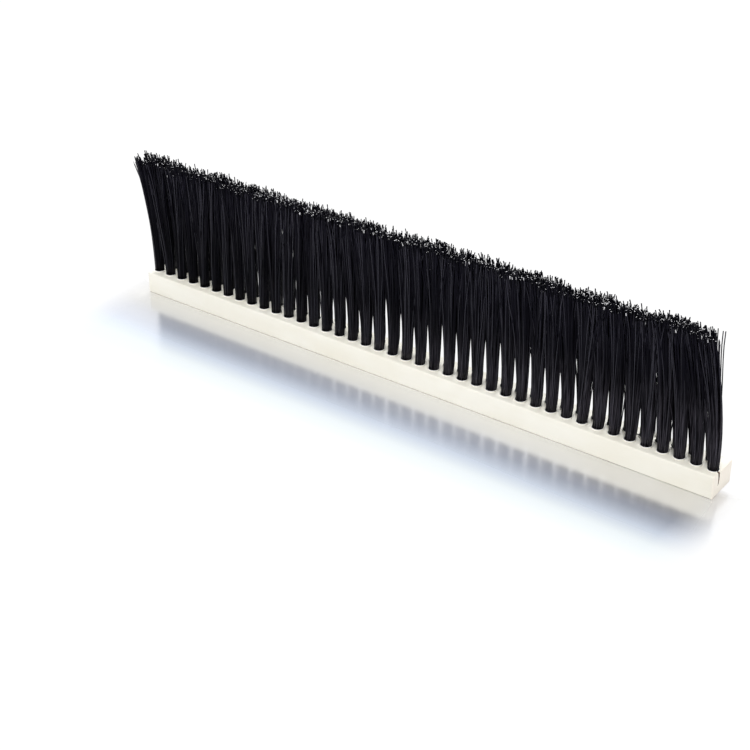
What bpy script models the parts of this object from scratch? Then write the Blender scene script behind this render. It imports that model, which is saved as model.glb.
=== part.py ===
"""Brush seal strip: a plastic bar with two staggered rows of nylon tufts set in blind holes.

Metres, +Z up. The origin is at the middle of the bar's underside. X runs along the strip,
and the front row of tufts is on the -Y side.
"""
import math

import bmesh
import bpy
from mathutils import Vector

# The bar
STRIP_LENGTH = 0.300
BASE_WIDTH = 0.016
BASE_HEIGHT = 0.0104
EDGE_ROUND = 0.0005

# The holes that the tufts are stapled into
TUFT_PITCH = 0.00735
ROW_SPACING = 0.0058
END_MARGIN = 0.0028
HOLE_DIAMETER = 0.0046
HOLE_DEPTH = 0.0075

# The tufts, heights measured up from the bar's top face
BRISTLE_LENGTH = 0.056
MERGE_HEIGHT = 0.019
BRUSH_THICKNESS = 0.0082

# Above the merge each tuft parts into two locks, with grooves this deep beside them at the tips
LOCK_GROOVE = 0.0012

# The tips are cut a little unevenly: how far up and down, and the lengths of the waves along X
CUT_UNEVENNESS = 0.0007
CUT_WAVES = (0.0113, 0.0294)

# How far the tips stand to the side of their feet along X, and how far the end tufts fan out
OVERALL_LEAN = -0.0026
LEFT_END_LEAN = -0.0044
RIGHT_END_LEAN = -0.0081
END_LEAN_REACH = 0.018
END_SPREAD = 0.0015

# Room between pieces that touch on the real strip
CLEARANCE = 0.0003

TUFT_SIDES = 10
EDGE_SEGMENTS = 2
STEM_CURVE = 0.42
LEAN_CURVE = 1.6
WALL_STEPS = (0.0, 0.3, 0.65, 1.0)

TUFTS_IN_FRONT_ROW = int((STRIP_LENGTH - 2 * END_MARGIN) / TUFT_PITCH) + 1
FIRST_TUFT_X = -(TUFTS_IN_FRONT_ROW - 1) * TUFT_PITCH / 2
FOOT_RADIUS = HOLE_DIAMETER / 2 - CLEARANCE
HALF_SIDES = TUFT_SIDES // 2
FLANK_ANGLE = math.pi / TUFT_SIDES


def clear_scene():
    for item in list(bpy.data.objects):
        bpy.data.objects.remove(item, do_unlink=True)


def plastic(name, color, roughness):
    material = bpy.data.materials.new(name)
    material.use_nodes = True
    shader = material.node_tree.nodes["Principled BSDF"]
    shader.inputs["Base Color"].default_value = (*color, 1.0)
    shader.inputs["Roughness"].default_value = roughness
    shader.inputs["Metallic"].default_value = 0.0
    material.diffuse_color = (*color, 1.0)
    return material


def object_from_bmesh(name, bm, material):
    bmesh.ops.recalc_face_normals(bm, faces=bm.faces)
    mesh = bpy.data.meshes.new(name)
    bm.to_mesh(mesh)
    bm.free()
    if material:
        mesh.materials.append(material)
    mesh.shade_smooth()
    mesh.set_sharp_from_angle(angle=math.radians(50))
    item = bpy.data.objects.new(name, mesh)
    bpy.context.collection.objects.link(item)
    return item


def row_places(row):
    """X of each tuft's foot. The back row has one tuft fewer and sits half a pitch along."""
    count = TUFTS_IN_FRONT_ROW - row
    start = FIRST_TUFT_X + row * TUFT_PITCH / 2
    return [start + i * TUFT_PITCH for i in range(count)]


def row_side(row):
    """-1 for the front row, which stands on the -Y side, and 1 for the back row."""
    return -1 if row == 0 else 1


def ring_angles():
    """Angles of a tuft's corners, with one flat flank facing each neighbour."""
    return [FLANK_ANGLE * (2 * k + 1) for k in range(TUFT_SIDES)]


def add_prism(bm, x, y, levels):
    """A closed upright prism with a regular outline; levels are (z, radius), bottom first."""
    rings = []
    for z, radius in levels:
        corners = [(x + radius * math.cos(a), y + radius * math.sin(a), z) for a in ring_angles()]
        rings.append([bm.verts.new(corner) for corner in corners])
    for low, high in zip(rings, rings[1:]):
        for k in range(TUFT_SIDES):
            n = (k + 1) % TUFT_SIDES
            bm.faces.new((low[k], low[n], high[n], high[k]))
    bm.faces.new(list(reversed(rings[0])))
    bm.faces.new(rings[-1])


def make_hole_cutter():
    bm = bmesh.new()
    radius = HOLE_DIAMETER / 2
    levels = ((BASE_HEIGHT - HOLE_DEPTH, radius), (BASE_HEIGHT + HOLE_DIAMETER, radius))
    for row in (0, 1):
        for x in row_places(row):
            add_prism(bm, x, row_side(row) * ROW_SPACING / 2, levels)
    cutter = object_from_bmesh("tuft_hole_cutter", bm, None)
    cutter.hide_render = True
    cutter.display_type = "WIRE"
    return cutter


def make_base(material):
    """The bar: a rectangle with rounded long edges, drawn out along X and sawn square."""
    bm = bmesh.new()
    bmesh.ops.create_cube(bm, size=1.0)
    bmesh.ops.scale(bm, vec=(STRIP_LENGTH, BASE_WIDTH, BASE_HEIGHT), verts=bm.verts)
    bmesh.ops.translate(bm, vec=(0, 0, BASE_HEIGHT / 2), verts=bm.verts)
    long_edges = [e for e in bm.edges if abs(e.verts[0].co.x - e.verts[1].co.x) > STRIP_LENGTH / 2]
    bmesh.ops.bevel(bm, geom=long_edges, offset=EDGE_ROUND, segments=EDGE_SEGMENTS,
                    profile=0.5, affect="EDGES")
    base = object_from_bmesh("base_strip", bm, material)
    holes = base.modifiers.new("tuft_holes", "BOOLEAN")
    holes.operation = "DIFFERENCE"
    holes.solver = "EXACT"
    holes.object = make_hole_cutter()
    return base


def tip_shift(x):
    """The whole brush leans a little to the left, and its two ends lean further that way."""
    near_left = math.exp((FIRST_TUFT_X - x) / END_LEAN_REACH)
    near_right = math.exp((FIRST_TUFT_X + x) / END_LEAN_REACH)
    return OVERALL_LEAN + LEFT_END_LEAN * near_left + RIGHT_END_LEAN * near_right


def axis_x(x, height):
    """X of a tuft's middle at a height above the bar, for a tuft whose foot is at x."""
    return x + tip_shift(x) * (max(height, 0.0) / BRISTLE_LENGTH) ** LEAN_CURVE


def row_span(height):
    """Inner and outer distance of a row from the strip's middle plane: the rows lean together."""
    rise = max(height, 0.0) / BRISTLE_LENGTH
    inner = ROW_SPACING / 2 - FOOT_RADIUS
    outer = ROW_SPACING / 2 + FOOT_RADIUS
    return (inner + rise * (CLEARANCE / 2 - inner), outer + rise * (BRUSH_THICKNESS / 2 - outer))


def row_middle(height):
    inner, outer = row_span(height)
    return (inner + outer) / 2


def row_half_depth(height):
    inner, outer = row_span(height)
    return (outer - inner) / 2


def stem_ring(bm, x, side, height, half_width):
    """One outline of a free-standing stem, an ellipse with flat flanks."""
    middle = axis_x(x, height)
    y = side * row_middle(height)
    half_depth = row_half_depth(height)
    return [bm.verts.new((middle + half_width * math.cos(a), y + half_depth * math.sin(a),
                          BASE_HEIGHT + height)) for a in ring_angles()]


def uneven_cut(x):
    """How far the tips at x stand above or below the mean cut."""
    waves = [math.sin(2 * math.pi * x / length) for length in CUT_WAVES]
    return CUT_UNEVENNESS * sum(waves) / len(waves)


def corner_depth(k, side, height, parted):
    """Y of a merged tuft's corner, which goes from a round tuft to two locks as parted goes to 1.

    The locks are on the outer face. The inner face turns flat, against the other row.
    """
    half_depth = row_half_depth(height)
    outward = side * math.sin(ring_angles()[k])
    is_lock = k % HALF_SIDES % 2 == 1
    locks = 1.0 if is_lock else 1.0 - LOCK_GROOVE / half_depth
    if outward < 0:
        locks = -1.0
    return side * (row_middle(height) + half_depth * (outward + parted * (locks - outward)))


def wall_rings(bm, places, side, parted):
    """The outlines of all tufts of a row where they have merged, from parted 0 to the tips at 1.

    Neighbours share the two corners of the flank between them, so the row is one wall.
    """
    height = MERGE_HEIGHT + parted * (BRISTLE_LENGTH - MERGE_HEIGHT)
    middles = [axis_x(x, height) for x in places]
    free_reach = TUFT_PITCH / 2 + parted * END_SPREAD
    ends = (middles[0] - free_reach, middles[-1] + free_reach)
    borders = [ends[0]] + [(a + b) / 2 for a, b in zip(middles, middles[1:])] + [ends[1]]
    rings = []
    for i, middle in enumerate(middles):
        ring = []
        for k, angle in enumerate(ring_angles()):
            left = math.cos(angle) < 0
            shared = {HALF_SIDES - 1: 0, HALF_SIDES: TUFT_SIDES - 1}
            if rings and k in shared:
                ring.append(rings[-1][shared[k]])
                continue
            reach = borders[i] - middle if left else borders[i + 1] - middle
            x = middle + reach * abs(math.cos(angle)) / math.cos(FLANK_ANGLE)
            z = BASE_HEIGHT + height + parted * uneven_cut(x)
            ring.append(bm.verts.new((x, corner_depth(k, side, height, parted), z)))
        rings.append(ring)
    return rings


def join_rings(bm, low, high, skipped=()):
    for k in range(TUFT_SIDES):
        n = (k + 1) % TUFT_SIDES
        if k not in skipped:
            bm.faces.new((low[k], low[n], high[n], high[k]))


def close_tips(bm, ring):
    """The cut tips of one tuft, as a fan of faces round its middle."""
    middle = sum((corner.co for corner in ring), Vector()) / len(ring)
    middle.z = BASE_HEIGHT + BRISTLE_LENGTH + uneven_cut(middle.x)
    peak = bm.verts.new(middle)
    for k in range(TUFT_SIDES):
        n = (k + 1) % TUFT_SIDES
        bm.faces.new((ring[k], ring[n], peak))


def make_tuft_row(name, row, material):
    """A row of tufts as one solid: round stems in their holes that fan out and run together."""
    bm = bmesh.new()
    places = row_places(row)
    side = row_side(row)
    merged_half_width = TUFT_PITCH / 2 / math.cos(FLANK_ANGLE)
    middle_half_width = FOOT_RADIUS + STEM_CURVE * (merged_half_width - FOOT_RADIUS)
    stem_levels = (
        (CLEARANCE - HOLE_DEPTH, FOOT_RADIUS),
        (0.0, FOOT_RADIUS),
        (MERGE_HEIGHT / 2, middle_half_width),
    )
    walls = [wall_rings(bm, places, side, step) for step in WALL_STEPS]
    left_flank = HALF_SIDES - 1
    right_flank = TUFT_SIDES - 1
    for i, x in enumerate(places):
        stem = [stem_ring(bm, x, side, *level) for level in stem_levels]
        bm.faces.new(list(reversed(stem[0])))
        for low, high in zip(stem, stem[1:]):
            join_rings(bm, low, high)
        join_rings(bm, stem[-1], walls[0][i])
        inside = set()
        if i > 0:
            inside.add(left_flank)
        if i < len(places) - 1:
            inside.add(right_flank)
        for low, high in zip(walls, walls[1:]):
            join_rings(bm, low[i], high[i], inside)
        close_tips(bm, walls[-1][i])
    return object_from_bmesh(name, bm, material)


def main():
    clear_scene()
    ivory = plastic("ivory_plastic", (0.83, 0.78, 0.68), 0.38)
    black = plastic("black_bristle", (0.018, 0.018, 0.022), 0.45)
    make_base(ivory)
    make_tuft_row("front_tuft_row", 0, black)
    make_tuft_row("back_tuft_row", 1, black)


main()
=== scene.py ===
"""Looks of the brush seal strip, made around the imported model.

Metres, +Z up. X runs along the strip, and the front row of tufts is on the -Y side.
"""
import math

import bmesh
import bpy
import numpy as np
from mathutils import Matrix, Vector


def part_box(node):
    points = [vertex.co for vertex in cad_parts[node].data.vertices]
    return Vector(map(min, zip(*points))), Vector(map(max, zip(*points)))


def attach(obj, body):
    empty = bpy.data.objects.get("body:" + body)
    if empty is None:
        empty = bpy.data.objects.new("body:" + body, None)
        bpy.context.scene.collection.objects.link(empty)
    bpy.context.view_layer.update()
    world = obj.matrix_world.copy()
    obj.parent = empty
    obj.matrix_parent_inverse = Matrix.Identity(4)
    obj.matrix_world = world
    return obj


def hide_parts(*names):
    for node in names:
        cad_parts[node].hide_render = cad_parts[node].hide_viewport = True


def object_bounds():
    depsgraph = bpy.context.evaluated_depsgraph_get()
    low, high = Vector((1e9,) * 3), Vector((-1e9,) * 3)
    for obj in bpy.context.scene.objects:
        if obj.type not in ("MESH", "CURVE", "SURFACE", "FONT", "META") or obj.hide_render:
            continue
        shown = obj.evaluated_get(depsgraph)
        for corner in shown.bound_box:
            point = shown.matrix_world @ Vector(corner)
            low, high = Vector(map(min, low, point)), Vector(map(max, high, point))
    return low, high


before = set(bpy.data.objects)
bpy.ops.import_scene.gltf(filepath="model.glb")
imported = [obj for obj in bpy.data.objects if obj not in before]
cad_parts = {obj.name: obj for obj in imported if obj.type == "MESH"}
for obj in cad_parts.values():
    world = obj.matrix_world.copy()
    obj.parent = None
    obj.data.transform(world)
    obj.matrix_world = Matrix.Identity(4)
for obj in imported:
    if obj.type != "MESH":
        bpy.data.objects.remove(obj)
cad_low, cad_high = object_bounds()

MM = 0.001

# The bar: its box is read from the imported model, its long edges are rounded as there, and its
# ends get a smaller round
BASE_LOW, BASE_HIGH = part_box("base_strip")
BASE_TOP = BASE_HIGH.z
BASE_LENGTH = BASE_HIGH.x - BASE_LOW.x
HALF_WIDTH = BASE_HIGH.y
EDGE_ROUND = 0.5 * MM
END_ROUND = 0.3 * MM
SHARP_ANGLE = math.radians(40)

# The tufts, as drilled and set in the model
TUFT_PITCH = 7.35 * MM
TUFTS_IN_FRONT_ROW = 41
FIRST_TUFT_X = -(TUFTS_IN_FRONT_ROW - 1) * TUFT_PITCH / 2
ROW_OFFSET = 2.9 * MM
HOLE_RADIUS = 2.3 * MM
HOLE_DEPTH = 7.5 * MM
BRISTLE_LENGTH = 56 * MM
TIP_OFFSET = 2.12 * MM
TIP_HALF_DEPTH = 1.78 * MM
# Grooves beside the two locks of a tuft at the tips, by distance from the tuft's axis
LOCK_GROOVE = 1.2 * MM
LOCK_X = np.array((0, 2.27, 3.675)) * MM
LOCK_SHAPE = np.array((1, 0, 1))
# The tips are cut a little unevenly, in two waves along X
CUT_UNEVENNESS = 0.7 * MM
CUT_WAVES = (11.3 * MM, 29.4 * MM)

# How the brush leans along X, as in the model
OVERALL_LEAN = -2.6 * MM
LEFT_END_LEAN = -4.4 * MM
RIGHT_END_LEAN = -8.1 * MM
END_LEAN_REACH = 18 * MM
LEAN_CURVE = 1.6
# Small differences in lean along the strip: X and added shift of the tips
LOCAL_LEAN_X = np.array((-147, -120, -100, -80, -60, -40, -20, 0, 40, 80, 100, 147)) * MM
LOCAL_LEAN = np.array((0, 1.6, 2.2, 1.6, 2.8, 0, -0.7, 0.3, 0.7, -1.3, 0.2, -0.5)) * MM
# The stems near the middle of the strip come out of their holes a little to the right
FOOT_LEAN_X = np.array((-60, -10, 110, 147)) * MM
FOOT_LEAN = np.array((0, 0.5, 0.5, 0)) * MM

# How far a tuft fans out at its tips to either side, and the curve that it follows up to there
FAN = (4.9 * MM, 1.15)
LEFT_END_FAN = (6.3 * MM, 2.0)
LEFT_INNER_FAN = (8.5 * MM, 1.0)
RIGHT_END_FAN = (6.0 * MM, 1.1)
FAN_SPREAD = 0.12

# Filaments
RANDOM_SEED = 7
FILAMENTS_IN_TUFT = 76
FILAMENT_RADIUS = 0.225 * MM
RADIUS_RANGE = (0.92, 1.08)
FILAMENT_STEPS = 10
FILAMENT_SIDES = 5
FOOT_RADIUS = 2.05 * MM
FOOT_SUNK = 1.2 * MM
# Just above its hole a tuft swells by this much, over this height
SWELL = 0.2 * MM
SWELL_HEIGHT = 1.5 * MM

# Filaments gather in clumps towards the tips; a clump pulls its filaments this far to its middle
CLUMPS_IN_TUFT = 22
CLUMP_PULL = 0.5

# Standard deviations at the tips: of whole tufts, of clumps, of filaments, and of the strays
# among them. The end tufts' filaments don't sway further outwards than the limit
TWIST_SPREAD = 0.3
LEAN_SPREAD = 0.5 * MM
CLUMP_SWAY_X = 1.1 * MM
CLUMP_SWAY_Y = 0.15 * MM
FILAMENT_SWAY_X = 0.8 * MM
FILAMENT_SWAY_Y = 0.2 * MM
STRAY_SHARE = 0.18
STRAY_SWAY = 3.5 * MM
END_SWAY_LIMIT = 0.6 * MM
SWAY_CURVE = 2.1

# Bends of single filaments: a curl near the tip, a bow over the length and a faint wave
CURL_X = 0.7 * MM
CURL_Y = 0.3 * MM
CURL_CURVE = 10
BOW_X = 0.5 * MM
BOW_Y = 0.15 * MM
BOW_SCALE = 3.5
BOW_CURVE = 1.5
WAVE_SIZE = 0.2 * MM
WAVE_COUNT = 1.3

# Standard deviations of the length, and how much longer a few filaments are
TUFT_LENGTH_SPREAD = 0.35 * MM
CLUMP_LENGTH_MEAN = -0.5 * MM
CLUMP_LENGTH_SPREAD = 1.0 * MM
FILAMENT_LENGTH_SPREAD = 0.55 * MM
LONG_SHARE = 0.05
LONG_EXTRA = (0.8 * MM, 2.6 * MM)
# No tip stands higher than this many times the model's height
HIGHEST_TIP = 1.025
LONGEST_BRISTLE = cad_high.z * HIGHEST_TIP - BASE_TOP

# The last step of a filament, up to its tip, is short and mostly matt, and darker with painted
# shade;
# some cut ends are burred and pale with painted glints, and a few filaments have a pale painted
# glint along that step
LAST_STEP = 0.98
GLOSSY_SHARE = 0.3
BURRED_GLINT_SHARE = 0.3
GLINT_TIP_SHARE = 0.03
BURR = 1.2

# Places of these two in the list of bristle materials, after the plain and the glossy one
PAINTED_GLINT = 2
MATT_SHADED_TIP = 3

# Camera, fitted to the tuft feet and the bar's edges in the photo
CAMERA_PLACE = (0.34815, -0.49373, 0.34886)
CAMERA_AZIMUTH = math.radians(-36.643)
CAMERA_ELEVATION = math.radians(29.956)
SENSOR_WIDTH = 36.0
LENS = 75.81


def make_camera():
    data = bpy.data.cameras.new("camera")
    data.sensor_width = SENSOR_WIDTH
    data.lens = LENS
    data.clip_start = 0.01
    data.clip_end = 50.0
    camera = bpy.data.objects.new("camera", data)
    bpy.context.collection.objects.link(camera)
    sin_a, cos_a = math.sin(CAMERA_AZIMUTH), math.cos(CAMERA_AZIMUTH)
    sin_e, cos_e = math.sin(CAMERA_ELEVATION), math.cos(CAMERA_ELEVATION)
    right = Vector((cos_a, -sin_a, 0))
    up = Vector((sin_a * sin_e, cos_a * sin_e, cos_e))
    back = Vector((-sin_a * cos_e, -cos_a * cos_e, sin_e))
    turn = Matrix((right, up, back)).transposed()
    camera.matrix_world = Matrix.Translation(CAMERA_PLACE) @ turn.to_4x4()
    bpy.context.scene.camera = camera


def new_material(name, color, roughness, specular=0.5):
    """A Principled material, with its node tree and shader node for more wiring.

    The colour and roughness hold for a viewer that doesn't read what is wired to them.
    """
    material = bpy.data.materials.new(name)
    material.use_nodes = True
    tree = material.node_tree
    shader = tree.nodes["Principled BSDF"]
    shader.inputs["Base Color"].default_value = (*color, 1)
    shader.inputs["Roughness"].default_value = roughness
    shader.inputs["Specular IOR Level"].default_value = specular
    return material, tree, shader


def noise_node(tree, scale, detail, stretch=(1, 1, 1)):
    """Noise in object space; stretch scales the coordinate along each axis."""
    place = tree.nodes.new("ShaderNodeTexCoord")
    mapping = tree.nodes.new("ShaderNodeMapping")
    mapping.inputs["Scale"].default_value = stretch
    noise = tree.nodes.new("ShaderNodeTexNoise")
    noise.inputs["Scale"].default_value = scale
    noise.inputs["Detail"].default_value = detail
    tree.links.new(place.outputs["Object"], mapping.inputs["Vector"])
    tree.links.new(mapping.outputs["Vector"], noise.inputs["Vector"])
    return noise


def color_ramp(tree, source, stops):
    """A ramp through (position, colour) stops."""
    ramp = tree.nodes.new("ShaderNodeValToRGB")
    elements = ramp.color_ramp.elements
    for k, (position, color) in enumerate(stops):
        element = elements[k] if k < 2 else elements.new(position)
        element.position = position
        element.color = (*color, 1)
    tree.links.new(source, ramp.inputs["Fac"])
    return ramp.outputs["Color"]


def map_range(tree, source, low, high, from_low=0.0, from_high=1.0):
    """Goes from low to high while the source goes from from_low to from_high, and stays there."""
    node = tree.nodes.new("ShaderNodeMapRange")
    node.inputs["From Min"].default_value = from_low
    node.inputs["From Max"].default_value = from_high
    node.inputs["To Min"].default_value = low
    node.inputs["To Max"].default_value = high
    tree.links.new(source, node.inputs["Value"])
    return node.outputs["Result"]


def coordinate(tree, axis):
    """X, Y or Z in object space."""
    place = tree.nodes.new("ShaderNodeTexCoord")
    split = tree.nodes.new("ShaderNodeSeparateXYZ")
    tree.links.new(place.outputs["Object"], split.inputs[0])
    return split.outputs[axis]


def calculate(tree, operation, *values):
    """A Math node; each value is a number or another node's output."""
    node = tree.nodes.new("ShaderNodeMath")
    node.operation = operation
    for socket, value in zip(node.inputs, values):
        if isinstance(value, (int, float)):
            socket.default_value = value
        else:
            tree.links.new(value, socket)
    return node.outputs[0]


def blend_colors(tree, amount, first, second):
    """First where the amount is 0, second where it is 1; each a colour or a node's output."""
    mix = tree.nodes.new("ShaderNodeMix")
    mix.data_type = "RGBA"
    tree.links.new(amount, mix.inputs[0])
    colors = [socket for socket in mix.inputs if socket.type == "RGBA"]
    for socket, value in zip(colors, (first, second)):
        if isinstance(value, tuple):
            socket.default_value = (*value, 1)
        else:
            tree.links.new(value, socket)
    return next(socket for socket in mix.outputs if socket.type == "RGBA")


def add_bump(tree, shader, height, strength, distance):
    bump = tree.nodes.new("ShaderNodeBump")
    bump.inputs["Strength"].default_value = strength
    bump.inputs["Distance"].default_value = distance
    tree.links.new(height, bump.inputs["Height"])
    tree.links.new(bump.outputs["Normal"], shader.inputs["Normal"])


def above_bar(tree, low, high, start, end):
    """Goes from low to high between two heights above the bar's top face."""
    return map_range(tree, coordinate(tree, "Z"), low, high, BASE_TOP + start, BASE_TOP + end)


# Ivory plastic: the two tones of its mottling, its cut end, paler and warmer with painted light,
# and the lips round the holes, paler with a painted highlight
IVORY_MOTTLING = ((0.35, (0.865, 0.835, 0.735)), (0.65, (0.905, 0.885, 0.805)))
IVORY_MEAN = (0.86, 0.82, 0.72)
IVORY_ROUGHNESS = (0.33, 0.48)
IVORY_LIT_END = (0.93, 0.865, 0.765)
IVORY_LIP_HIGHLIGHT = (0.985, 0.98, 0.965)
RIGHT_END_X = (149.2 * MM, 149.9 * MM)


def ivory_material():
    """Ivory plastic, mottled and faintly lined, paler and warmer at the right end with painted
    light, and paler on the lips with a painted highlight.
    """
    material, tree, shader = new_material("ivory_plastic", IVORY_MEAN, 0.4)
    cloud = noise_node(tree, 90, 3, (0.4, 1, 1))
    plain = color_ramp(tree, cloud.outputs["Fac"], IVORY_MOTTLING)
    # Painted light: the right end face is paler and warmer, as if lit from the right
    lit_end = map_range(tree, coordinate(tree, "X"), 0, 1, *RIGHT_END_X)
    color = blend_colors(tree, lit_end, plain, IVORY_LIT_END)
    # Painted highlight: the lips round the holes are paler, for the bright crescents of light on
    # them
    color = blend_colors(tree, above_bar(tree, 0, 1, 0.12 * MM, 0.3 * MM), color, IVORY_LIP_HIGHLIGHT)
    tree.links.new(color, shader.inputs["Base Color"])
    lines = noise_node(tree, 900, 4, (0.03, 1, 1))
    rough = map_range(tree, lines.outputs["Fac"], *IVORY_ROUGHNESS)
    tree.links.new(rough, shader.inputs["Roughness"])
    add_bump(tree, shader, lines.outputs["Fac"], 0.25, 0.03 * MM)
    return material


CRACK_MEAN = (0.06, 0.025, 0.015)
CRACK_GRAIN = ((0.35, (0.03, 0.012, 0.008)), (0.65, (0.13, 0.055, 0.03)))


def crack_material():
    material, tree, shader = new_material("crack_dirt", CRACK_MEAN, 0.85, 0.2)
    grain = noise_node(tree, 2500, 3)
    color = color_ramp(tree, grain.outputs["Fac"], CRACK_GRAIN)
    tree.links.new(color, shader.inputs["Base Color"])
    return material


# Nylon: a bluish gloss, painted shade that makes it deep black low down where the tufts shade each
# other, and painted light that makes it grey low down, more of it and higher up towards the right,
# where light from the pale bar and floor reaches the stems
NYLON_GLOSS_TINT = (0.84, 0.82, 1.0, 1)
SHADED_SHARE = 0.35
NYLON_PAINTED_LIGHT = ((0.38, (0.002, 0.0018, 0.0030)), (0.64, (0.042, 0.0385, 0.0475)))
PAINTED_LIGHT_RISE = 0.06
PAINTED_LIGHT_HEIGHTS = (5 * MM, 26 * MM)
PAINTED_LIGHT_X = (-110 * MM, 60 * MM)
PAINTED_LIGHT_SHARE = (0.05, 1)
ROUGHNESS_SPREAD = 0.06


def bristle_material(name, dark, light, roughness, specular):
    """Black nylon with streaks along the filaments, and painted light in grey low down, above a
    black rim of painted shade at the bar.
    """
    material, tree, shader = new_material(name, dark, roughness, specular)
    shader.inputs["Specular Tint"].default_value = NYLON_GLOSS_TINT
    streak = noise_node(tree, 1500, 2, (1, 1, 0.04)).outputs["Fac"]
    streaks = color_ramp(tree, streak, ((0.35, dark), (0.65, light)))
    # Painted shade: the nylon goes deep black low down, where the tufts shade each other
    shaded = tuple(SHADED_SHARE * part for part in dark)
    streaks = blend_colors(tree, above_bar(tree, 0, 1, 18 * MM, 46 * MM), shaded, streaks)

    # Painted light: grey low down, more of it and higher up to the right, above a black rim of
    # painted shade at the bar
    x, z = coordinate(tree, "X"), coordinate(tree, "Z")
    slant = calculate(tree, "MULTIPLY_ADD", x, -PAINTED_LIGHT_RISE, z)
    low = map_range(tree, slant, 1, 0, *[BASE_TOP + height for height in PAINTED_LIGHT_HEIGHTS])
    rightward = map_range(tree, x, *PAINTED_LIGHT_SHARE, *PAINTED_LIGHT_X)
    above_shaded_rim = above_bar(tree, 0, 1, 0.1 * MM, 0.5 * MM)
    painted_light = calculate(tree, "MULTIPLY", calculate(tree, "MULTIPLY", low, rightward), above_shaded_rim)
    color = blend_colors(tree, painted_light, streaks, color_ramp(tree, streak, NYLON_PAINTED_LIGHT))
    tree.links.new(color, shader.inputs["Base Color"])
    rough = map_range(tree, streak, roughness - ROUGHNESS_SPREAD, roughness + ROUGHNESS_SPREAD)
    tree.links.new(rough, shader.inputs["Roughness"])
    return material


def finish_piece(piece, slot, *nodes):
    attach(piece, "root")
    if nodes:
        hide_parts(*nodes)


# The bar's mesh: each hole sits in a square cell of the top face, whose border has as many
# corners as the rings round the hole
CELL_STEPS = 6
RING_CORNERS = 4 * CELL_STEPS
HALF_CELL = CELL_STEPS // 2
SIDE_STEPS = 3

# Radius and height over the top face of each ring round a hole: a slight dip, a low lip, the bore
HOLE_RINGS = (
    (2.66 * MM, -0.08 * MM),
    (2.61 * MM, 0.08 * MM),
    (2.54 * MM, 0.38 * MM),
    (2.43 * MM, 0.42 * MM),
    (2.34 * MM, 0.10 * MM),
    (HOLE_RADIUS, -0.3 * MM),
    (HOLE_RADIUS, -HOLE_DEPTH),
)

# The crack in the right end, from the last front hole downwards: Y, Z, half width and depth
CRACK = (
    (-3.85 * MM, 10.9 * MM, 0.70 * MM, 1.2 * MM),
    (-3.72 * MM, 9.6 * MM, 0.60 * MM, 1.1 * MM),
    (-3.42 * MM, 8.2 * MM, 0.52 * MM, 0.9 * MM),
    (-3.28 * MM, 6.6 * MM, 0.42 * MM, 0.7 * MM),
    (-3.42 * MM, 5.2 * MM, 0.32 * MM, 0.5 * MM),
    (-3.68 * MM, 4.1 * MM, 0.05 * MM, 0.2 * MM),
)
CRACK_OUTSIDE = 0.4 * MM


def column_places():
    """X of the bar's cross lines: six to a tuft, squeezed between the end tufts and the ends."""
    places = []
    last = (TUFTS_IN_FRONT_ROW - 1) * CELL_STEPS
    step = TUFT_PITCH / CELL_STEPS
    for c in range(-HALF_CELL, last + HALF_CELL + 1):
        x = FIRST_TUFT_X + c * step
        if c < 0:
            x = FIRST_TUFT_X + (FIRST_TUFT_X - BASE_LOW.x) * c / HALF_CELL
        if c > last:
            x = -FIRST_TUFT_X + (BASE_HIGH.x + FIRST_TUFT_X) * (c - last) / HALF_CELL
        places.append(x)
    return places


def side_profile():
    """(Y, Z) down the front side, under the bar and up the back, between the top's two edges."""
    def arc(y, z, start):
        points = []
        for k in range(SIDE_STEPS + 1):
            angle = start + math.pi / 2 * k / SIDE_STEPS
            points.append((y + EDGE_ROUND * math.cos(angle), z + EDGE_ROUND * math.sin(angle)))
        return points
    inner = HALF_WIDTH - EDGE_ROUND
    front = arc(-inner, BASE_TOP - EDGE_ROUND, math.pi / 2)[1:] + arc(-inner, EDGE_ROUND, math.pi)
    back = [(-y, z) for y, z in reversed(front)]
    return front + [(-inner / 2, 0.0), (0.0, 0.0), (inner / 2, 0.0)] + back


def cell_border(top, left, front):
    """The 24 points round a tuft's cell, counter-clockwise from the middle of its right side."""
    right, back = left + CELL_STEPS, front + CELL_STEPS
    loop = [top(right, front + HALF_CELL + k) for k in range(HALF_CELL)]
    loop += [top(right - k, back) for k in range(CELL_STEPS)]
    loop += [top(left, back - k) for k in range(CELL_STEPS)]
    loop += [top(left + k, front) for k in range(CELL_STEPS)]
    loop += [top(right, front + k) for k in range(HALF_CELL)]
    return loop


def drill_hole(bm, border, x, y):
    """Fills a cell from its border down into the blind hole of one tuft."""
    outer = border
    for radius, height in HOLE_RINGS:
        ring = []
        for k in range(RING_CORNERS):
            angle = 2 * math.pi * k / RING_CORNERS
            ring.append(bm.verts.new((x + radius * math.cos(angle), y + radius * math.sin(angle),
                                      BASE_TOP + height)))
        for k in range(RING_CORNERS):
            n = (k + 1) % RING_CORNERS
            bm.faces.new((outer[k], outer[n], ring[n], ring[k]))
        outer = ring
    bm.faces.new(outer)


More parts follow.
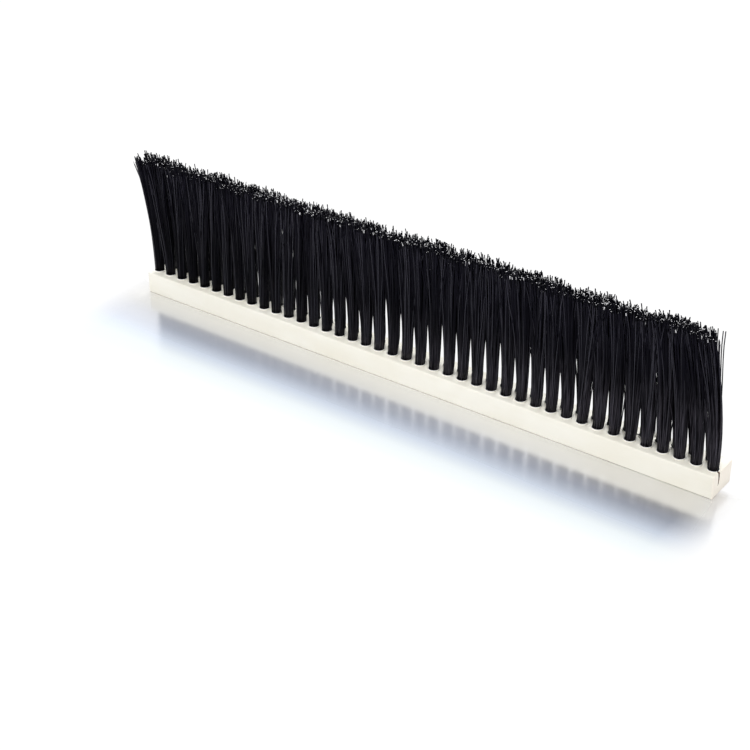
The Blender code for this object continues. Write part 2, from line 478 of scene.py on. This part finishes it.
def crack_cutter():
    """A curved wedge, sharp inside the bar and open beyond its right end."""
    bm = bmesh.new()
    x = BASE_HIGH.x
    sections = []
    for y, z, half, depth in CRACK:
        wide = half * (depth + CRACK_OUTSIDE) / depth
        sections.append([bm.verts.new((x + CRACK_OUTSIDE, y - wide, z)),
                         bm.verts.new((x + CRACK_OUTSIDE, y + wide, z)),
                         bm.verts.new((x - depth, y, z))])
    for high, low in zip(sections, sections[1:]):
        for k in range(3):
            n = (k + 1) % 3
            bm.faces.new((high[k], high[n], low[n], low[k]))
    bm.faces.new(sections[0])
    bm.faces.new(sections[-1])
    bmesh.ops.recalc_face_normals(bm, faces=bm.faces)
    mesh = bpy.data.meshes.new("crack_cutter")
    bm.to_mesh(mesh)
    bm.free()
    for polygon in mesh.polygons:
        polygon.material_index = 1
    cutter = bpy.data.objects.new("crack_cutter", mesh)
    bpy.context.collection.objects.link(cutter)
    return cutter


def apply_modifiers(item):
    """Replaces an object's mesh by what its modifiers make of it."""
    graph = bpy.context.evaluated_depsgraph_get()
    graph.update()
    mesh = bpy.data.meshes.new_from_object(item.evaluated_get(graph))
    item.modifiers.clear()
    item.data = mesh


def bar_mesh():
    """The drilled bar: its top face with the holes, its sides and underside, and its two ends."""
    bm = bmesh.new()
    columns = column_places()
    inner = HALF_WIDTH - EDGE_ROUND
    last_row = 2 * CELL_STEPS
    rows = [-inner + 2 * inner * j / last_row for j in range(last_row + 1)]
    cache = {}

    def top(c, j):
        if (c, j) not in cache:
            cache[c, j] = bm.verts.new((columns[c], rows[j], BASE_TOP))
        return cache[c, j]

    for i in range(TUFTS_IN_FRONT_ROW):
        x = FIRST_TUFT_X + i * TUFT_PITCH
        drill_hole(bm, cell_border(top, i * CELL_STEPS, 0), x, -ROW_OFFSET)
        if i < TUFTS_IN_FRONT_ROW - 1:
            border = cell_border(top, i * CELL_STEPS + HALF_CELL, CELL_STEPS)
            drill_hole(bm, border, x + TUFT_PITCH / 2, ROW_OFFSET)
    last = len(columns) - 1
    for start in (0, last - HALF_CELL):
        for c in range(start, start + HALF_CELL):
            for j in range(CELL_STEPS, last_row):
                bm.faces.new((top(c, j), top(c + 1, j), top(c + 1, j + 1), top(c, j + 1)))

    profile = side_profile()
    sides = [[bm.verts.new((x, y, z)) for y, z in profile] for x in columns]
    for c in range(last):
        strip_a = [top(c, 0), *sides[c], top(c, last_row)]
        strip_b = [top(c + 1, 0), *sides[c + 1], top(c + 1, last_row)]
        for k in range(len(strip_a) - 1):
            bm.faces.new((strip_a[k], strip_a[k + 1], strip_b[k + 1], strip_b[k]))
    outline = []
    for c in (0, last):
        end_row = [top(c, j) for j in range(last_row + 1)]
        cap = bm.faces.new(end_row + list(reversed(sides[c])))
        outline += cap.edges
    bmesh.ops.recalc_face_normals(bm, faces=bm.faces)
    bmesh.ops.bevel(bm, geom=outline, offset=END_ROUND, segments=2, profile=0.5, affect="EDGES")
    mesh = bpy.data.meshes.new("bar")
    bm.to_mesh(mesh)
    bm.free()
    return mesh


def make_bar():
    """The bar, with the crack cut out of its right end."""
    mesh = bar_mesh()
    bar = bpy.data.objects.new("bar", mesh)
    bpy.context.collection.objects.link(bar)
    cutter = crack_cutter()
    for material in (ivory_material(), crack_material()):
        mesh.materials.append(material)
        cutter.data.materials.append(material)
    crack = bar.modifiers.new("crack", "BOOLEAN")
    crack.operation = "DIFFERENCE"
    crack.solver = "EXACT"
    crack.object = cutter
    apply_modifiers(bar)
    bpy.data.objects.remove(cutter, do_unlink=True)
    bar.data.shade_smooth()
    bar.data.set_sharp_from_angle(angle=SHARP_ANGLE)
    finish_piece(bar, "base_plastic", "base_strip")


def tip_shift(x):
    """How far the tips stand to the side of their foot at x."""
    near_left = math.exp((FIRST_TUFT_X - x) / END_LEAN_REACH)
    right_shade_amount = math.exp((FIRST_TUFT_X + x) / END_LEAN_REACH)
    local = float(np.interp(x, LOCAL_LEAN_X, LOCAL_LEAN))
    return OVERALL_LEAN + LEFT_END_LEAN * near_left + RIGHT_END_LEAN * right_shade_amount + local


def uneven_cut(x):
    """How far the tips at x stand above or below the mean cut, as in the model."""
    waves = [np.sin(2 * np.pi * x / length) for length in CUT_WAVES]
    return CUT_UNEVENNESS * sum(waves) / len(waves)


def clumped_normal(rng, clump, clump_spread, filament_spread, mean=0.0):
    """A random number for each filament, made up of one for its clump and one of its own."""
    of_clumps = rng.normal(mean, clump_spread, CLUMPS_IN_TUFT)
    return of_clumps[clump] + rng.normal(0, filament_spread, len(clump))


def tuft_paths(rng, x, side, left_fan, right_fan):
    """Middle lines of one tuft's filaments, an array of filament, step and coordinate.

    Across is along X and deep is outwards from the strip's middle plane, both as shares of the
    tuft's radius at its foot.
    """
    count = FILAMENTS_IN_TUFT
    reach = np.sqrt((np.arange(count) + 0.5) / count)
    golden_angle = math.pi * (3 - math.sqrt(5))
    angle = np.arange(count) * golden_angle + rng.uniform(0, 2 * math.pi)
    across, deep = reach * np.cos(angle), reach * np.sin(angle)

    centre_angle = rng.uniform(0, 2 * math.pi, CLUMPS_IN_TUFT)
    centre_reach = np.sqrt(rng.random(CLUMPS_IN_TUFT))
    centre_x, centre_y = centre_reach * np.cos(centre_angle), centre_reach * np.sin(centre_angle)
    far = (across[:, None] - centre_x) ** 2 + (deep[:, None] - centre_y) ** 2
    clump = far.argmin(axis=1)
    twist = rng.normal(0, TWIST_SPREAD)
    gather_x = across + CLUMP_PULL * (centre_x[clump] - across)
    gather_y = deep + CLUMP_PULL * (centre_y[clump] - deep)
    fan_x = math.cos(twist) * gather_x - math.sin(twist) * gather_y
    fan_y = math.sin(twist) * gather_x + math.cos(twist) * gather_y
    tip_deep = fan_y / np.sqrt(np.maximum(1 - fan_x ** 2, 0.2))

    lean = tip_shift(x) + rng.normal(0, LEAN_SPREAD)
    sway_x = clumped_normal(rng, clump, CLUMP_SWAY_X, FILAMENT_SWAY_X)
    sway_x += (rng.random(count) < STRAY_SHARE) * rng.normal(0, STRAY_SWAY, count)
    if left_fan is LEFT_END_FAN:
        sway_x = np.maximum(sway_x, -END_SWAY_LIMIT)
    if right_fan is RIGHT_END_FAN:
        sway_x = np.minimum(sway_x, END_SWAY_LIMIT)
    sway_y = clumped_normal(rng, clump, CLUMP_SWAY_Y, FILAMENT_SWAY_Y)
    curl_x = rng.normal(0, CURL_X, count)
    curl_y = rng.normal(0, CURL_Y, count)
    bow_x = rng.normal(0, BOW_X, count)
    bow_y = rng.normal(0, BOW_Y, count)
    wave = rng.random(count)

    tip_x = x + fan_x * FAN[0] + lean
    length = BRISTLE_LENGTH + uneven_cut(tip_x) + rng.normal(0, TUFT_LENGTH_SPREAD)
    length += clumped_normal(rng, clump, CLUMP_LENGTH_SPREAD, FILAMENT_LENGTH_SPREAD,
                             CLUMP_LENGTH_MEAN)
    length += (rng.random(count) < LONG_SHARE) * rng.uniform(*LONG_EXTRA, count)
    length = np.minimum(length, LONGEST_BRISTLE)

    t = np.append(np.linspace(0, LAST_STEP, FILAMENT_STEPS), 1)[None, :]
    height = -FOOT_SUNK + t * (length + FOOT_SUNK)[:, None]
    rise = np.clip(height / BRISTLE_LENGTH, 0, None)
    arc = BOW_SCALE * rise ** BOW_CURVE * (1 - rise)
    leftward = fan_x < 0
    fan_tip = np.where(leftward, left_fan[0] * rng.normal(1, FAN_SPREAD),
                       right_fan[0] * rng.normal(1, FAN_SPREAD))
    fan_tip = fan_tip - FOOT_RADIUS
    fan_curve = np.where(leftward, left_fan[1], right_fan[1])[:, None]
    swell = 1 - np.exp(-np.clip(height, 0, None) / SWELL_HEIGHT)
    foot_lean = np.interp(x, FOOT_LEAN_X, FOOT_LEAN)
    path_x = x + FOOT_RADIUS * across[:, None] + (fan_x * fan_tip)[:, None] * rise ** fan_curve
    path_x += (FOOT_RADIUS * (fan_x - across))[:, None] * rise
    path_x += (SWELL * across[:, None] + foot_lean) * swell
    path_x += lean * rise ** LEAN_CURVE + sway_x[:, None] * rise ** SWAY_CURVE
    path_x += bow_x[:, None] * arc + curl_x[:, None] * rise ** CURL_CURVE
    path_x += WAVE_SIZE * np.sin(2 * np.pi * (WAVE_COUNT * rise + wave[:, None])) * rise

    from_axis = path_x - x - tip_shift(x) * rise ** LEAN_CURVE
    folded = np.abs((from_axis + TUFT_PITCH / 2) % TUFT_PITCH - TUFT_PITCH / 2)
    groove = LOCK_GROOVE * np.interp(folded, LOCK_X, LOCK_SHAPE) * rise
    share = deep[:, None] + (tip_deep - deep)[:, None] * rise
    half_depth = FOOT_RADIUS + (TIP_HALF_DEPTH - FOOT_RADIUS) * rise
    out = ROW_OFFSET + (TIP_OFFSET - ROW_OFFSET) * rise + share * half_depth
    out += sway_y[:, None] * rise + bow_y[:, None] * arc + curl_y[:, None] * rise ** CURL_CURVE
    out -= groove * np.clip(share, 0, 1)
    return np.stack([path_x, side * out, BASE_TOP + height], axis=2)


def tube_mesh(name, paths, radii, body_index, tip_index, end_index, materials):
    """One mesh of closed, straight-sided filaments that are shaded round, with flat cut ends.

    The material numbers are those of each filament's body, last step and cut end.
    """
    count, rings, _ = paths.shape
    tangent = np.gradient(paths, axis=1)
    tangent /= np.linalg.norm(tangent, axis=2, keepdims=True)
    side_a = np.cross(tangent, np.array([0.0, 1.0, 0.0]))
    side_a /= np.linalg.norm(side_a, axis=2, keepdims=True)
    side_b = np.cross(tangent, side_a)
    points = []
    for k in range(FILAMENT_SIDES):
        angle = 2 * math.pi * (k + 0.5) / FILAMENT_SIDES
        offset = side_a * math.cos(angle) + side_b * math.sin(angle)
        points.append(paths + offset * radii[:, :, None])
    vertices = np.stack(points, axis=2).reshape(-1, 3)

    around = np.arange(FILAMENT_SIDES)
    ring = np.arange(rings - 1)[:, None] * FILAMENT_SIDES
    k, n = around[None, :], (around[None, :] + 1) % FILAMENT_SIDES
    up = FILAMENT_SIDES
    walls = np.stack([ring + k, ring + n, ring + up + n, ring + up + k], axis=2).reshape(-1)
    foot = around[::-1]
    tip = (rings - 1) * FILAMENT_SIDES + around
    one = np.concatenate([walls, foot, tip])
    wall_count = (rings - 1) * FILAMENT_SIDES
    sizes = np.concatenate([np.full(wall_count, 4), np.full(2, FILAMENT_SIDES)])
    starts = np.concatenate([[0], np.cumsum(sizes)[:-1]])
    offset = np.arange(count)[:, None]
    loops = (offset * rings * FILAMENT_SIDES + one[None]).ravel()
    loop_starts = (offset * len(one) + starts[None]).ravel()

    mesh = bpy.data.meshes.new(name)
    mesh.vertices.add(len(vertices))
    mesh.vertices.foreach_set("co", vertices.astype(np.float32).ravel())
    mesh.loops.add(len(loops))
    mesh.loops.foreach_set("vertex_index", loops.astype(np.int32))
    mesh.polygons.add(len(loop_starts))
    mesh.polygons.foreach_set("loop_start", loop_starts.astype(np.int32))
    faces = wall_count + 2
    index = np.repeat(body_index[:, None], faces, axis=1)
    index[:, wall_count - FILAMENT_SIDES:wall_count] = tip_index[:, None]
    index[:, -1] = end_index
    smooth = np.ones((count, faces), dtype=bool)
    smooth[:, -2:] = False
    for material in materials:
        mesh.materials.append(material)
    mesh.polygons.foreach_set("material_index", index.astype(np.int32).ravel())
    mesh.polygons.foreach_set("use_smooth", smooth.ravel())
    mesh.update(calc_edges=True)
    mesh.validate()
    item = bpy.data.objects.new(name, mesh)
    bpy.context.collection.objects.link(item)
    return item


def make_bristles(materials):
    """Both rows of tufts, each in a left and a right half."""
    rng = np.random.default_rng(RANDOM_SEED)
    for side, row_name in ((-1, "front"), (1, "back")):
        count = TUFTS_IN_FRONT_ROW - (side > 0)
        start = FIRST_TUFT_X + (side > 0) * TUFT_PITCH / 2
        half = count // 2
        for part, numbers in (("left", range(half)), ("right", range(half, count))):
            tufts = []
            for i in numbers:
                left_fan = right_fan = FAN
                if i == 0:
                    left_fan, right_fan = LEFT_END_FAN, LEFT_INNER_FAN
                if i == 1:
                    left_fan = LEFT_INNER_FAN
                if i == count - 1:
                    right_fan = RIGHT_END_FAN
                tufts.append(tuft_paths(rng, start + i * TUFT_PITCH, side, left_fan, right_fan))
            paths = np.concatenate(tufts)
            count_here, rings, _ = paths.shape
            radii = FILAMENT_RADIUS * rng.uniform(*RADIUS_RANGE, (count_here, 1)) * np.ones(rings)
            body = (rng.random(count_here) < GLOSSY_SHARE).astype(int)
            burred_glinting = rng.random(count_here) < BURRED_GLINT_SHARE
            radii[burred_glinting, -1] *= BURR
            ends = np.where(burred_glinting, PAINTED_GLINT, body)
            tips = np.where(rng.random(count_here) < GLINT_TIP_SHARE, PAINTED_GLINT, MATT_SHADED_TIP)
            name = f"{row_name}_bristles_{part}"
            piece = tube_mesh(name, paths, radii, body, tips, ends, materials)
            finish_piece(piece, "bristle", f"{row_name}_tuft_row")


# Single filaments that stand out from the tufts, as X, Y and Z of points along each, in mm
LOOSE_FILAMENTS = (
    ((145.2, 2.6, 10.2), (145.6, 2.8, 20), (145.3, 3.0, 27), (144.6, 3.2, 33.5),
     (143.6, 3.6, 44.6), (142.1, 4.3, 58.6), (141.9, 4.8, 66.3)),
    ((144.9, 3.2, 10.2), (145.0, 3.3, 22), (144.4, 3.3, 33), (143.2, 3.4, 41.9),
     (142.3, 3.7, 50.2), (141.3, 4.1, 58.4), (140.9, 4.7, 66.2)),
    ((143.6, 3.0, 10.2), (142.6, 3.1, 30), (141.0, 3.3, 48), (139.8, 3.5, 58.2),
     (139.2, 4.0, 63.0), (138.9, 4.4, 66.8)),
    ((110.6, -0.6, 11.3), (112.1, -1.0, 12.6), (113.9, -1.0, 12.6), (115.4, -1.3, 12.0)),
    ((118.9, 2.0, 12.0), (118.7, 1.6, 17), (118.6, 1.5, 21.5), (119.0, 1.5, 25.9)),
    ((126.3, 2.0, 11.0), (125.8, 1.7, 14), (125.7, 1.5, 17.3), (126.1, 1.5, 23.0)),
    ((-38.9, 1.2, 11.2), (-38.5, 1.5, 12.6), (-37.4, 1.5, 15.6), (-37.0, 1.5, 17.4)),
)


def make_loose_filaments(materials):
    paths = []
    for points in LOOSE_FILAMENTS:
        line = np.array(points) * MM
        steps = np.linalg.norm(np.diff(line, axis=0), axis=1)
        along = np.concatenate([[0], np.cumsum(steps)])
        even = np.linspace(0, along[-1], FILAMENT_STEPS + 1)
        paths.append(np.stack([np.interp(even, along, line[:, a]) for a in range(3)], axis=1))
    index = np.zeros(len(paths), dtype=int)
    radii = np.full((len(paths), FILAMENT_STEPS + 1), FILAMENT_RADIUS)
    piece = tube_mesh("loose_filaments", np.array(paths), radii, index, index, index, materials)
    finish_piece(piece, "bristle")


def seen_directly(tree):
    """1 for camera, mirror and glass rays, and 0 for the rays that light the object."""
    path = tree.nodes.new("ShaderNodeLightPath")
    total = path.outputs["Is Camera Ray"]
    for name in ("Is Glossy Ray", "Is Transmission Ray"):
        total = calculate(tree, "MAXIMUM", total, path.outputs[name])
    return total


# The floor's tones are set against the distance from the bar, as a share of this
FLOOR_REACH = 80 * MM


def distance_from_bar(tree):
    """Distance on the floor from the bar's outline, as a share of FLOOR_REACH."""
    squares = []
    for axis, half in (("X", BASE_LENGTH / 2), ("Y", HALF_WIDTH)):
        size = calculate(tree, "ABSOLUTE", coordinate(tree, axis))
        outside = map_range(tree, size, 0, 1, half, half + FLOOR_REACH)
        squares.append(calculate(tree, "POWER", outside, 2))
    return calculate(tree, "SQRT", calculate(tree, "ADD", *squares))


# Where the floor turns clear: outwards from the bar's ends, and in Y behind its front side
CLEAR_PAST_END = (-6 * MM, 13 * MM)
CLEAR_BEHIND = (-HALF_WIDTH, 1 * MM)


def floor_clearness(tree):
    """0 on the floor in front of the bar, rising to 1 past its ends and behind it."""
    out = calculate(tree, "ABSOLUTE", coordinate(tree, "X"))
    ends = map_range(tree, out, 0, 1, *[BASE_LENGTH / 2 + past for past in CLEAR_PAST_END])
    behind = map_range(tree, coordinate(tree, "Y"), 0, 1, *CLEAR_BEHIND)
    return calculate(tree, "MAXIMUM", ends, behind)


def gray(value):
    return (value, value, value)


# Colour of the floor as it is seen, with painted shadow near the bar, warm close to it with
# painted bounce light off the ivory, and as it lights the object
FLOOR_TINT_AND_SHADOW = ((0.0, (0.65, 0.635, 0.60)), (0.05, (0.66, 0.65, 0.62)), (0.12, (0.58, 0.58, 0.575)),
               (0.20, (0.575, 0.60, 0.67)), (0.29, (0.63, 0.68, 0.80)), (0.40, (0.79, 0.87, 1.0)),
               (0.50, (0.91, 0.97, 1.0)), (0.60, (0.94, 0.985, 1.0)), (0.72, (1.0, 1.0, 1.0)))
BOUNCE_COLOR = ((0.0, gray(0.85)), (0.72, gray(1.0)))
# Behind the bar and past its ends
CLEAR_COLOR = gray(0.75)
# Painted shade: close to the bar the floor darkens towards the right end
NEAR_DISTANCE = (0.12, 0.25)
NEAR_RIGHT_X = (60 * MM, 130 * MM)
NEAR_RIGHT_SHADE = (0.43, 0.42, 0.41)
# The floor's soft mirror image of the strip, a little stronger to the right
MIRROR_SHARE = ((0.0, gray(0.45)), (0.27, gray(0.42)), (0.40, gray(0.22)), (0.52, gray(0.06)),
                (0.64, gray(0.0)))
MIRROR_GAIN = (1, 1.3)
MIRROR_GAIN_X = (40 * MM, 125 * MM)
MIRROR_ROUGHNESS = 0.19
# How much of the floor's tone doesn't depend on the lamps, for rays that see it directly
GLOW_SHARE = ((0.0, gray(0.15)), (0.012, gray(0.62)), (0.3, gray(0.85)), (0.6, gray(0.93)))
CLEAR_GLOW_SHARE = 0.93
GLOW_STRENGTH = 1.03

FLOOR_SIZE = 4.0
FLOOR_DROP = 0.05 * MM


def mix_shaders(tree, amount, first, second):
    mix = tree.nodes.new("ShaderNodeMixShader")
    for value, socket in zip((amount, first, second), mix.inputs):
        tree.links.new(value, socket)
    return mix.outputs["Shader"]


def floor_material():
    """A pale floor with painted shadow and a soft mirror image of the strip in front of it, and
    white further off.
    """
    material = bpy.data.materials.new("pale_floor")
    material.use_nodes = True
    tree = material.node_tree
    tree.nodes.clear()
    distance = distance_from_bar(tree)
    clear = floor_clearness(tree)
    seen = seen_directly(tree)

    near = map_range(tree, distance, 1, 0, *NEAR_DISTANCE)
    right_shade_amount = map_range(tree, coordinate(tree, "X"), 0, 1, *NEAR_RIGHT_X)
    right_shade_amount = calculate(tree, "MULTIPLY", right_shade_amount, near)
    # Painted shadow: the floor is darker near the bar, warm close to it with painted bounce light
    shade = color_ramp(tree, distance, FLOOR_TINT_AND_SHADOW)
    shade = blend_colors(tree, right_shade_amount, shade, NEAR_RIGHT_SHADE)
    toned = blend_colors(tree, clear, shade, CLEAR_COLOR)
    bounce = blend_colors(tree, clear, color_ramp(tree, distance, BOUNCE_COLOR), CLEAR_COLOR)
    diffuse = tree.nodes.new("ShaderNodeBsdfDiffuse")
    tree.links.new(blend_colors(tree, seen, bounce, toned), diffuse.inputs["Color"])

    glow = tree.nodes.new("ShaderNodeEmission")
    glow.inputs["Strength"].default_value = GLOW_STRENGTH
    tree.links.new(blend_colors(tree, clear, shade, gray(1.0)), glow.inputs["Color"])
    glow_share = calculate(tree, "MAXIMUM", color_ramp(tree, distance, GLOW_SHARE),
                           calculate(tree, "MULTIPLY", clear, CLEAR_GLOW_SHARE))
    glow_share = calculate(tree, "MULTIPLY", seen, glow_share)
    plain = mix_shaders(tree, glow_share, diffuse.outputs["BSDF"], glow.outputs["Emission"])

    gloss = tree.nodes.new("ShaderNodeBsdfAnisotropic")
    gloss.inputs["Color"].default_value = (1, 1, 1, 1)
    gloss.inputs["Roughness"].default_value = MIRROR_ROUGHNESS
    gain = map_range(tree, coordinate(tree, "X"), *MIRROR_GAIN, *MIRROR_GAIN_X)
    gain = calculate(tree, "MULTIPLY", gain, calculate(tree, "SUBTRACT", 1, clear))
    mirror_share = calculate(tree, "MULTIPLY", color_ramp(tree, distance, MIRROR_SHARE), gain)
    whole = mix_shaders(tree, mirror_share, plain, gloss.outputs["BSDF"])
    out = tree.nodes.new("ShaderNodeOutputMaterial")
    tree.links.new(whole, out.inputs["Surface"])
    return material


def make_floor():
    bm = bmesh.new()
    bmesh.ops.create_grid(bm, x_segments=1, y_segments=1, size=FLOOR_SIZE)
    bmesh.ops.translate(bm, vec=(0, 0, -FLOOR_DROP), verts=bm.verts)
    mesh = bpy.data.meshes.new("floor")
    bm.to_mesh(mesh)
    bm.free()
    mesh.materials.append(floor_material())
    floor = bpy.data.objects.new("floor", mesh)
    bpy.context.collection.objects.link(floor)


# Strength of the white world: as light on the object, and as it is seen
WORLD_STRENGTH = (0.58, 1.0)


def make_world():
    world = bpy.data.worlds.new("studio")
    bpy.context.scene.world = world
    world.use_nodes = True
    tree = world.node_tree
    background = tree.nodes["Background"]
    background.inputs["Color"].default_value = (1, 1, 1, 1)
    strength = map_range(tree, seen_directly(tree), *WORLD_STRENGTH)
    tree.links.new(strength, background.inputs["Strength"])


def place_light(data, place, target, power):
    data.energy = power
    light = bpy.data.objects.new(data.name, data)
    bpy.context.collection.objects.link(light)
    light.location = place
    light.rotation_mode = "QUATERNION"
    light.rotation_quaternion = (Vector(target) - Vector(place)).to_track_quat("-Z", "Y")


def soft_light(name, place, target, size, power):
    """A square softbox."""
    data = bpy.data.lights.new(name, "AREA")
    data.shape = "SQUARE"
    data.size = size
    place_light(data, place, target, power)


def pool_light(place, target, cone, power):
    """A spot with soft edges that brightens the middle of the bar from above."""
    data = bpy.data.lights.new("pool_spot", "SPOT")
    data.spot_size = math.radians(cone)
    data.spot_blend = 1.0
    data.shadow_soft_size = 0.1
    place_light(data, place, target, power)


def make_studio():
    make_floor()
    make_world()
    soft_light("key_softbox", (-0.35, -1.1, 1.1), (0, 0, 0.03), 0.6, 4.3)
    soft_light("top_softbox", (0.15, -0.15, 1.5), (0, 0, 0.03), 0.9, 9.0)
    soft_light("right_softbox", (1.3, -0.25, 0.6), (0.1, 0, 0.03), 0.6, 2.1)
    soft_light("back_softbox", (-0.45, 0.8, 1.2), (0, 0, 0.02), 0.6, 12.5)
    pool_light((0.02, -0.2, 1.4), (0.005, -0.008, 0), 11, 9.0)


make_camera()
make_bar()
nylon = [
    bristle_material("nylon_black", (0.0022, 0.0020, 0.0042), (0.005, 0.0046, 0.009), 0.34, 0.09),
    bristle_material("nylon_glossy", (0.005, 0.0047, 0.008), (0.013, 0.012, 0.019), 0.24, 0.38),
    # Painted glints: the pale burred cut ends and the few pale tips
    bristle_material("nylon_painted_glint", (0.22, 0.22, 0.225), (0.85, 0.85, 0.86), 0.5, 0.5),
    # Painted shade: the matt last step is darker than the rest, for the shade among the tips
    bristle_material("nylon_matt_shaded_tip", (0.001, 0.001, 0.002), (0.005, 0.005, 0.007), 0.5, 0.06),
]
make_bristles(nylon)
make_loose_filaments(nylon)
make_studio()

scene = bpy.context.scene
scene.view_settings.view_transform = "Standard"
